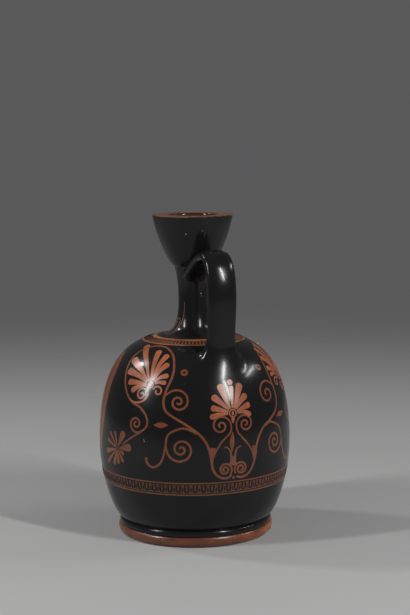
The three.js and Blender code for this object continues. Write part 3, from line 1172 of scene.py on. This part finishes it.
class LEKYTHOS_OT_shoulder_band(bpy.types.Operator):
    """Paint the band of eggs on the shoulder"""
    bl_idname = "lekythos.shoulder_band"
    bl_label = "Shoulder band"

    def execute(self, context):
        settings = context.scene.lekythos
        wall = Wall(body_wall(settings.body))
        rows = SHOULDER_BAND_ROWS
        # The band's clay is painted brighter than its own tone, as painted light falling on the
        # shoulder top
        paint_bands("shoulder_band", wall, SHOULDER_LINES, rows, "band_clay_with_painted_light")
        paint_bands("shoulder_ground", wall, [SHOULDER_GROUND], rows, "ground_clay_with_painted_light")
        paint_eggs("shoulder_eggs", wall, settings.ornament.shoulder_eggs,
                   SHOULDER_EGG_ROW, SHOULDER_EGG, "thin_gloss")
        return {"FINISHED"}


# The next four operators list places as degrees round from the handle and millimetres up the wall.
# Most were picked by eye on the photograph and put on the wall by another program, which also fitted
# the spirals.


class LEKYTHOS_OT_handle_palmette(bpy.types.Operator):
    """Paint the palmette under the handle with the lyre, bud and calyx that carry it"""
    bl_idname = "lekythos.handle_palmette"
    bl_label = "Palmette under the handle"

    def execute(self, context):
        wall = Wall(body_wall(context.scene.lekythos.body))
        brush = Brush(wall, CLAY_DEPTH)
        core = (0.8, 76.5)
        petals = (
            ((1.2, 86.2), (1.9, 93.1), 2.7),
            ((-2.9, 85.0), (-6.1, 94.6), 4.6), ((-5.9, 82.8), (-11.5, 87.6), 4.2),
            ((-6.8, 79.0), (-12.7, 80.5), 3.7), ((-7.9, 76.2), (-13.5, 74.6), 3.3),
            ((4.8, 85.9), (8.4, 94.3), 4.5), ((6.4, 82.7), (11.5, 87.1), 4.0),
            ((8.0, 79.2), (13.2, 81.0), 3.8), ((9.0, 76.5), (13.1, 74.1), 3.0))
        for middle, tip, head in petals:
            brush.petal(core, tip, head, middle)
        brush.dot((1.5, 95.3), 3.5)
        left_lyre = [(-12.9, 47.2), (-11.8, 50.8), (-10.1, 54.7), (-6.7, 59.9), (-3.7, 62.6)]
        left_lyre += curl(wall, (-7.1, 69.4), 330, 1.81, 7.1, 0.5, 0.79)
        right_lyre = [(13.7, 47.2), (12.8, 51.7), (11.4, 54.6), (8.7, 58.3), (5.2, 62.4)]
        right_lyre += curl(wall, (8.5, 69.5), 215, -1.94, 6.8, 0.5, 0.79)
        left_loop = curl(wall, (-5.0, 42.7), 311, 1.91, 5.1, 0.8, 0.64)
        right_loop = curl(wall, (5.0, 42.7), 220, -1.93, 4.7, 0.8, 0.87)
        left_horn = [(-1.3, 47.0), (-1.4, 51.6), (-2.0, 54.3), (-3.8, 56.3), (-5.6, 56.2)]
        right_horn = [(1.0, 47.4), (1.3, 52.2), (2.2, 54.8), (3.7, 55.9), (5.0, 56.5)]
        lines = (
            (left_lyre, 0.95, 1.25), (right_lyre, 0.95, 1.25),
            (left_loop, 1.1, 1.3), (right_loop, 1.1, 1.3),
            (left_horn, 1.5, 0.8), (right_horn, 1.5, 0.8))
        stems = Brush(wall, CLAY_DEPTH)
        for places, first, last in lines:
            stems.line(places, first, last)
        wedges = (
            ([(-13.2, 48.5), (-12.7, 53.6), (-12.4, 56.5)], 0.4, 4.6),
            ([(14.1, 48.0), (13.9, 52.1), (13.7, 55.4)], 0.3, 2.4),
            ([(-0.2, 45.0), (-0.1, 48.0), (0.0, 50.8)], 5.3, 2.4))
        for places, first, last in wedges:
            stems.stroke(rounded(places), wedge(first, last))
        brush.ring(core, 2.2, 0.75)
        brush.stroke(rounded([(0.8, 78.0), (0.8, 76.6), (0.7, 74.8)]), spindle(1.5))
        brush.stroke(rounded([(0.7, 74.2), (0.6, 72.6), (0.5, 70.4)]), tapering(3.0, 0.5))
        stems.stroke(rounded([(0.1, 65.8), (-0.5, 60.5), (-0.8, 53.0)]), spindle(3.0))
        stems.dot((0.4, 37.4), 1.9)
        inlay("handle_palmette", brush.bm, finish_named("petal_clay"), "bare_clay")
        inlay("handle_lyre", stems.bm, finish_named("line_clay"), "bare_clay")
        return {"FINISHED"}


class LEKYTHOS_OT_scrolls(bpy.types.Operator):
    """Paint the tendrils, spirals, hooks, lozenges and ringed dots on both sides"""
    bl_idname = "lekythos.scrolls"
    bl_label = "Scrolls"

    def execute(self, context):
        wall = Wall(body_wall(context.scene.lekythos.body))
        fall = [
            (-79.0, 103.5), (-74.5, 93.8), (-69.3, 86.5), (-63.8, 82.1), (-57.1, 79.5),
            (-52.3, 74.6), (-51.3, 70.0)]
        fall += curl(wall, (-59.1, 69.5), 339, -1.79, 6.9, 0.7, 0.56)
        left_rise = [
            (-1.0, 39.8), (-2.2, 38.0), (-4.9, 37.3), (-8.0, 38.2), (-10.7, 40.6),
            (-12.4, 44.4), (-13.8, 53.3), (-16.2, 60.0), (-20.5, 65.4), (-28.0, 70.9),
            (-36.3, 75.8), (-40.3, 79.2), (-41.6, 84.5), (-40.4, 91.0), (-37.3, 100.0),
            (-37.6, 108.0), (-41.2, 115.6), (-49.5, 121.0), (-59.6, 122.5), (-69.0, 121.0),
            (-76.5, 116.5), (-79.6, 110.2)]
        right_rise = [
            (1.9, 38.2), (4.6, 37.2), (8.3, 37.7), (11.0, 39.8), (12.9, 43.0), (15.0, 49.5),
            (15.9, 55.5), (18.4, 61.2), (22.2, 65.8), (28.0, 68.9), (35.2, 73.5), (38.4, 78.5),
            (39.2, 84.0), (38.3, 93.0), (38.7, 101.7), (41.5, 109.3), (47.5, 114.9),
            (56.8, 118.7), (67.0, 119.3), (75.5, 115.2), (79.4, 109.4)]
        left_inner = curl(wall, (-32.2, 84.1), 162, -1.91, 9.8, 0.6, 0.54)
        right_inner = curl(wall, (29.7, 85.3), 21, 1.61, 9.8, 1.0, 0.61)
        left_lower = [(-21.1, 65.1), (-25.1, 67.4), (-30.3, 68.4)]
        left_lower += curl(wall, (-30.4, 55.9), 132, 2.13, 11.6, 0.7, 0.54)
        right_lower = [(22.2, 65.8), (27.3, 67.6), (30.3, 67.4)]
        right_lower += curl(wall, (31.7, 55.5), 58, -2.16, 10.1, 0.6, 0.67)
        left_hook = [
            (-38.8, 61.4), (-40.1, 54.7), (-40.8, 51.3), (-42.2, 47.9), (-44.7, 45.2),
            (-47.6, 44.1), (-50.1, 45.3), (-51.5, 47.7), (-51.4, 50.1)]
        right_hook = [
            (39.5, 59.5), (40.1, 54.3), (41.8, 47.6), (43.8, 44.3), (47.1, 41.5), (50.7, 41.2),
            (52.6, 43.5), (52.6, 46.0)]
        left_stem = [(-54.8, 65.2), (-60.5, 61.7), (-65.9, 58.1), (-69.7, 55.0)]
        lines = (
            (left_rise + fall, 1.5, 1.25), (right_rise + mirrored(fall), 1.5, 1.25),
            (left_inner, 1.15, 1.4), (right_inner, 1.15, 1.4),
            (left_lower, 1.2, 1.4), (right_lower, 1.2, 1.4),
            (left_hook, 0.95, 1.7), (right_hook, 0.95, 1.7),
            (left_stem, 1.15, 0.9), (mirrored(left_stem), 1.15, 0.9))
        brush = Brush(wall, CLAY_DEPTH)
        for places, first, last in lines:
            brush.line(places, first, last)
        lozenges = (
            [(-47.3, 69.8), (-42.9, 70.0), (-37.7, 70.2)],
            [(35.6, 69.9), (40.0, 70.7), (46.1, 71.2)])
        for lozenge in lozenges:
            brush.stroke(rounded(lozenge), spindle(3.4))
        for ringed_dot in ((-29.3, 102.4), (30.5, 102.1)):
            brush.ring(ringed_dot, 1.5, 1.5)
        inlay("scrolls", brush.bm, finish_named("line_clay"), "bare_clay")
        return {"FINISHED"}


class LEKYTHOS_OT_side_palmettes(bpy.types.Operator):
    """Paint the leaning palmette inside each tendril"""
    bl_idname = "lekythos.side_palmettes"
    bl_label = "Side palmettes"

    def execute(self, context):
        wall = Wall(body_wall(context.scene.lekythos.body))
        core = (-51.9, 93.6)
        petals = (
            ((-61.5, 108.1), (-77.5, 122.0), 4.5), ((-53.9, 107.2), (-55.6, 118.6), 4.2),
            ((-49.4, 106.8), (-45.0, 115.3), 3.9), ((-47.0, 103.5), (-41.7, 108.3), 3.8),
            ((-45.7, 98.7), (-40.1, 100.2), 3.3), ((-46.1, 95.6), (-41.0, 95.5), 2.8),
            ((-63.4, 102.6), (-77.8, 109.4), 4.9), ((-63.6, 98.6), (-76.0, 100.9), 4.5),
            ((-61.3, 94.3), (-71.3, 93.9), 3.9), ((-60.9, 91.9), (-66.4, 88.5), 3.7))
        stem = [
            (-66.0, 83.6), (-62.6, 82.2), (-58.3, 82.5), (-55.1, 83.9), (-53.3, 86.1),
            (-52.3, 88.6)]
        volutes = (
            curl(wall, (-57.4, 87.3), 38, 1.41, 4.5, 0.5, 0.72),
            curl(wall, (-46.2, 90.0), 164, -1.09, 3.6, 0.9, 0.87))
        brush = Brush(wall, CLAY_DEPTH)
        for side in SIDES:
            heart = side([core])[0]
            for middle, tip, head in petals:
                middle, tip = side([middle, tip])
                brush.petal(heart, tip, head, middle, 0.95)
            brush.line(side(stem), 1.0, 1.25)
            for volute in volutes:
                brush.line(side(volute), 0.95, 1.1)
            brush.ring(heart, 1.7, 0.7)
            brush.dot(heart, 1.3)
        inlay("side_palmettes", brush.bm, finish_named("petal_clay"), "bare_clay")
        return {"FINISHED"}


class LEKYTHOS_OT_flowers(bpy.types.Operator):
    """Paint the small open flower at the end of each tendril"""
    bl_idname = "lekythos.flowers"
    bl_label = "Flowers"

    def execute(self, context):
        wall = Wall(body_wall(context.scene.lekythos.body))
        core = (-74.0, 52.2)
        petals = (
            ((-82.2, 61.3), 2.1), ((-76.8, 62.5), 1.9), ((-85.6, 56.3), 2.2), ((-87.2, 48.4), 3.3),
            ((-86.3, 41.3), 2.5), ((-78.3, 41.5), 3.0), ((-73.5, 42.4), 2.7), ((-68.9, 44.4), 2.6),
            ((-68.2, 49.4), 2.2), ((-62.3, 54.6), 4.9), ((-68.4, 63.5), 4.6))
        brush = Brush(wall, CLAY_DEPTH)
        for side in SIDES:
            heart = side([core])[0]
            for tip, head in petals:
                brush.petal(heart, side([tip])[0], head, base=0.75, start=1.8)
            brush.ring(heart, 1.1, 0.5)
        inlay("flowers", brush.bm, finish_named("line_clay"), "bare_clay")
        return {"FINISHED"}


# The broad leaf's width and the width of its tips in millimetres, and the powers that bring its
# fullest place above the middle and keep it full towards its ends
LEAF_WIDTH = 17.5
LEAF_TIP = 0.05
LEAF_LEAN = 0.75
LEAF_FULLNESS = 0.6


def front_leaf(run, total):
    """Width of the broad leaf that closes the front panel, fullest above its middle."""
    share = (run / total) ** LEAF_LEAN
    return max(LEAF_WIDTH * math.sin(math.pi * share) ** LEAF_FULLNESS, LEAF_TIP)


# The front palmette's petals on each side of its middle one: number, angle between neighbours and
# bend in degrees, then the length and head that the row starts from and what each next one loses
FRONT_PETALS = 5
FRONT_FAN = 19.0
FRONT_BEND = 1.2
FRONT_REACH, FRONT_SHORTENING = 27.0, 2.1
FRONT_HEAD, FRONT_SLIMMING = 5.2, 0.25
# Share of a petal's length at which it bends
FRONT_MIDDLE = 0.6


class LEKYTHOS_OT_front_panel(bpy.types.Operator):
    """Paint the front with a broad leaf at each side and a palmette between scrolls"""
    bl_idname = "lekythos.front_panel"
    bl_label = "Front panel"

    def execute(self, context):
        wall = Wall(body_wall(context.scene.lekythos.body))
        brush, veins = Brush(wall, CLAY_DEPTH), Brush(wall, EGG_DEPTH)
        leaf = [
            (-109.0, 112.0), (-101.5, 100.0), (-100.5, 88.0), (-100.4, 74.0), (-100.5, 62.0),
            (-102.5, 50.0), (-108.0, 38.5)]
        scroll = [
            (-180.0, 45.0), (-172.0, 43.5), (-164.0, 46.0), (-158.0, 52.5), (-154.0, 61.0),
            (-149.0, 69.0)]
        scroll += curl(wall, (-141.0, 68.0), 150, -2.0, 9.0, 0.8)
        branch = [(-156.0, 56.5), (-150.0, 58.5), (-144.0, 56.0)]
        branch += curl(wall, (-145.0, 49.5), 80, -1.7, 6.0, 0.7)
        shoot = [(-149.0, 69.0), (-143.0, 78.5), (-136.0, 84.0)]
        shoot += curl(wall, (-128.0, 88.0), 225, 1.8, 7.0, 0.7)
        volute = [(-180.0, 55.0), (-177.0, 61.0)]
        volute += curl(wall, (-172.5, 64.5), 215, -1.7, 5.0, 0.6)
        lines = ((scroll, 1.6, 1.4), (branch, 1.2, 1.3), (shoot, 1.2, 1.3), (volute, 1.1, 1.2))
        core = (180.0, 70.0)

        def spoke(heading, reach):
            return wall.shifted(core, reach * math.cos(heading), reach * math.sin(heading))

        for hand, side in zip((1, -1), SIDES):
            brush.stroke(rounded(side(leaf), PETAL_STEPS), front_leaf, LEAF_COLUMNS)
            veins.line(side(leaf), 1.1, 0.5)
            for places, first, last in lines:
                brush.line(side(places), first, last)
            for k in range(1, FRONT_PETALS + 1):
                heading = math.radians(90 - hand * FRONT_FAN * k)
                lean = heading + hand * math.radians(FRONT_BEND * k)
                reach = FRONT_REACH - FRONT_SHORTENING * k
                brush.petal(
                    core, spoke(heading, reach), FRONT_HEAD - FRONT_SLIMMING * k,
                    spoke(lean, FRONT_MIDDLE * reach), base=1.2, start=4.0)
        brush.petal(core, (180.0, 98.5), 5.0, base=1.2, start=4.0)
        brush.ring(core, 3.0, 0.9)
        brush.dot(core, 2.4)
        inlay("front_panel", brush.bm, finish_named("line_clay"), "bare_clay")
        inlay("leaf_veins", veins.bm, finish_named("burnished_gloss"), "black_gloss")
        return {"FINISHED"}


# The tongues begin at this turn from the handle, and each fills this share of its room
TONGUES_FROM = 71.0
TONGUE_SHARE = 0.86
# How far the row is drawn together at the root of the neck
TONGUE_DRAW = 0.17
# Heights at which the arches spring and the border ends, and the arch's own, in millimetres
TONGUE_SPRING = 133.6
BORDER_TOP = 146.0
TONGUE_ARCH = 2.0
# Climb at which the strokes begin and width of a tongue's outline, in millimetres
TONGUE_START = 0.6
TONGUE_PEN = 0.6


class LEKYTHOS_OT_tongues(bpy.types.Operator):
    """Paint the tongues round the front of the neck"""
    bl_idname = "lekythos.tongues"
    bl_label = "Neck tongues"

    def execute(self, context):
        settings = context.scene.lekythos
        wall = Wall(neck_wall(settings.neck))
        brush = Brush(wall, CLAY_DEPTH)
        number = settings.ornament.tongues
        half = (180.0 - TONGUES_FROM) / number * TONGUE_SHARE
        spring = wall.climb_to(TONGUE_SPRING)
        for k in range(number):
            turn = (180.0 - TONGUES_FROM) * ((2 * k + 1) / number - 1)
            leg = [(-half, TONGUE_START), (-half, spring / 3), (-half, 2 * spring / 3)]
            arch = [math.radians(a) for a in range(0, 181, ARCH_DEGREES)]
            round_top = [(-half * math.cos(a), spring + TONGUE_ARCH * math.sin(a)) for a in arch]
            outline = leg + round_top + [(-across, climb) for across, climb in reversed(leg)]
            brush.line([
                (180.0 + (turn + across) * (1 - TONGUE_DRAW * max(1 - climb / spring, 0.0)), climb)
                for across, climb in outline], TONGUE_PEN, TONGUE_PEN)
        top = wall.climb_to(BORDER_TOP)
        border = [
            (57.5, top), (59.0, 0.75 * top), (63.0, 0.55 * top), (70.0, 0.36 * top),
            (84.0, TONGUE_START)]
        for side in SIDES:
            brush.line(side(border), 0.35, 0.5)
        inlay("neck_tongues", brush.bm, finish_named("rim_edge_clay"), "bare_clay")
        return {"FINISHED"}


class LEKYTHOS_OT_chips(bpy.types.Operator):
    """Mark the small chips where the gloss has flaked to the clay"""
    bl_idname = "lekythos.chips"
    bl_label = "Chips"

    def execute(self, context):
        settings = context.scene.lekythos
        # Turn, climb and size of each chip
        marks = (
            ("body", body_wall(settings.body),
             ((-52.9, 59.5, 0.9), (-53.3, 60.5, 0.6), (64.0, 88.0, 0.7))),
            ("neck", neck_wall(settings.neck), ((8.0, 30.1, 0.9), (10.0, 28.6, 0.5))),
            ("mouth", mouth_wall(settings.mouth), ((-33.0, 24.5, 1.1), (-7.0, 26.5, 0.8))))
        for name, outline, chips in marks:
            brush = Brush(Wall(outline), CLAY_DEPTH)
            for *place, size in chips:
                brush.dot(place, size)
            inlay(name + "_chips", brush.bm, finish_named("limed_chip"), "bare_clay")
        return {"FINISHED"}


class LEKYTHOS_OT_stage(bpy.types.Operator):
    """Set the pale floor, the soft lamps and the camera"""
    bl_idname = "lekythos.stage"
    bl_label = "Stage"

    def execute(self, context):
        stage = context.scene.lekythos.stage
        make_floor(stage)
        light_world(context.scene, stage)
        for name, lamp in SOFTBOXES.items():
            softbox(name, *lamp)
        set_camera(context.scene, stage)
        return {"FINISHED"}


# Each lamp's turn from the handle and rise in degrees, distance and size in metres, and watts
SOFTBOXES = {
    "left_softbox": ((-88.0, 29.0), 1.1, (0.085, 0.5), 6.3),
    "front_softbox": ((23.0, 30.0), 1.1, (0.045, 0.5), 7.5),
    "right_softbox": ((75.0, 33.0), 1.1, (0.5, 0.04), 2.0),
    "back_softbox": ((-130.0, 40.0), 1.2, (0.14, 0.14), 3.4),
}
LAMP_TARGET = Vector((0.0, 0.0, 0.09))


def softbox(name, direction, distance, size, power):
    """A soft lamp in a direction from the jug, aimed at its belly."""
    turn, rise = (math.radians(part) for part in direction)
    lamp = bpy.data.lights.new(name, "AREA")
    lamp.shape = "ELLIPSE"
    lamp.size, lamp.size_y = size
    lamp.energy = power
    made = bpy.data.objects.new(name, lamp)
    bpy.context.scene.collection.objects.link(made)
    level = math.cos(rise)
    away = Vector((level * math.cos(turn), level * math.sin(turn), math.sin(rise)))
    made.location = LAMP_TARGET + away * distance
    made.rotation_euler = away.to_track_quat("Z", "Y").to_euler()


# How far the floor lies under the foot, and where its fade begins and ends, in metres
FLOOR_DROP = 0.0001
FADE_START = 0.3
FADE_END = 1.3
# Share of the floor's colour in its darker patches
FLOOR_MOTTLE = 0.94
FLOOR_ROUGHNESS = 0.7


def make_floor(stage):
    """A round pale floor that fades into the backdrop."""
    bm = bmesh.new()
    bmesh.ops.create_circle(
        bm, cap_ends=True, segments=FLOOR_SIDES, radius=stage.floor_radius)
    bmesh.ops.translate(bm, verts=bm.verts, vec=(0.0, 0.0, -FLOOR_DROP))
    mesh = bpy.data.meshes.new("floor")
    bm.to_mesh(mesh)
    bm.free()
    floor = bpy.data.objects.new("floor", mesh)
    bpy.context.scene.collection.objects.link(floor)
    made, nodes, shader = finish_of("pale_floor")
    places = nodes.places()
    mottle = nodes.noise(places, scale=9.0, detail=4.0)
    shade = [FLOOR_MOTTLE * part for part in stage.floor_colour]
    nodes.put(shader.inputs["Base Color"], nodes.blend(mottle, stage.floor_colour, shade))
    shader.inputs["Roughness"].default_value = FLOOR_ROUGHNESS
    reach = nodes.add("VectorMath", {"Vector": places}, operation="LENGTH").outputs["Value"]
    fade = nodes.add("MapRange", {"Value": reach, "From Min": FADE_START, "From Max": FADE_END},
                     interpolation_type="SMOOTHSTEP").outputs["Result"]
    clear = nodes.add("BsdfTransparent").outputs["BSDF"]
    mix = nodes.add("MixShader")
    for socket, value in zip(mix.inputs, (fade, shader.outputs["BSDF"], clear)):
        nodes.put(socket, value)
    nodes.put(nodes.tree.nodes["Material Output"].inputs["Surface"], mix.outputs["Shader"])
    mesh.materials.append(made)


def light_world(scene, stage):
    """An even grey backdrop all round."""
    world = bpy.data.worlds.new("backdrop")
    nodes = Nodes(world)
    nodes.put(nodes.tree.nodes["Background"].inputs["Color"], (*stage.backdrop_colour, 1.0))
    scene.world = world


def set_camera(scene, stage):
    """The camera where the photograph was taken from."""
    data = bpy.data.cameras.new("camera")
    data.lens = stage.lens
    camera = bpy.data.objects.new("camera", data)
    scene.collection.objects.link(camera)
    aim = Matrix.Rotation(stage.heading, 4, "Z") @ Matrix.Rotation(math.pi / 2 - stage.tilt, 4, "X")
    camera.matrix_world = (
        Matrix.Translation(stage.camera_place) @ aim @ Matrix.Rotation(-stage.roll, 4, "Z"))
    scene.camera = camera
    scene.view_settings.view_transform = "Standard"


class LEKYTHOS_PT_panel(bpy.types.Panel):
    """The jug's pieces and sizes"""
    bl_idname = "LEKYTHOS_PT_panel"
    bl_label = "Squat lekythos"
    bl_space_type = "VIEW_3D"
    bl_region_type = "UI"
    bl_category = "Lekythos"

    def draw(self, context):
        settings = context.scene.lekythos
        for operator in OPERATORS:
            self.layout.operator(operator.bl_idname)
        for group in ("foot", "body", "neck", "mouth", "handle", "ornament", "finish", "stage"):
            box = self.layout.box()
            sizes = getattr(settings, group)
            for name in sizes.__annotations__:
                box.prop(sizes, name)


GROUPS = (
    FootSizes, BodySizes, NeckSizes, MouthSizes, HandleSizes, OrnamentSizes, Finishes,
    StageSettings, LekythosSettings)
OPERATORS = (
    LEKYTHOS_OT_foot, LEKYTHOS_OT_body, LEKYTHOS_OT_neck, LEKYTHOS_OT_mouth,
    LEKYTHOS_OT_handle, LEKYTHOS_OT_slips, LEKYTHOS_OT_lower_band, LEKYTHOS_OT_shoulder_band,
    LEKYTHOS_OT_handle_palmette, LEKYTHOS_OT_scrolls, LEKYTHOS_OT_side_palmettes,
    LEKYTHOS_OT_flowers, LEKYTHOS_OT_front_panel, LEKYTHOS_OT_tongues, LEKYTHOS_OT_chips,
    LEKYTHOS_OT_stage)


def register():
    """Makes the classes known to Blender."""
    for item in (*GROUPS, *OPERATORS, LEKYTHOS_PT_panel):
        bpy.utils.register_class(item)
    bpy.types.Scene.lekythos = bpy.props.PointerProperty(type=LekythosSettings)


def unregister():
    """Takes the classes out again."""
    del bpy.types.Scene.lekythos
    for item in reversed((*GROUPS, *OPERATORS, LEKYTHOS_PT_panel)):
        bpy.utils.unregister_class(item)


def main():
    """Builds every piece in order."""
    register()
    for operator in OPERATORS:
        group, name = operator.bl_idname.split(".")
        getattr(getattr(bpy.ops, group), name)()
    bpy.context.view_layer.update()


if __name__ == "__main__":
    main()
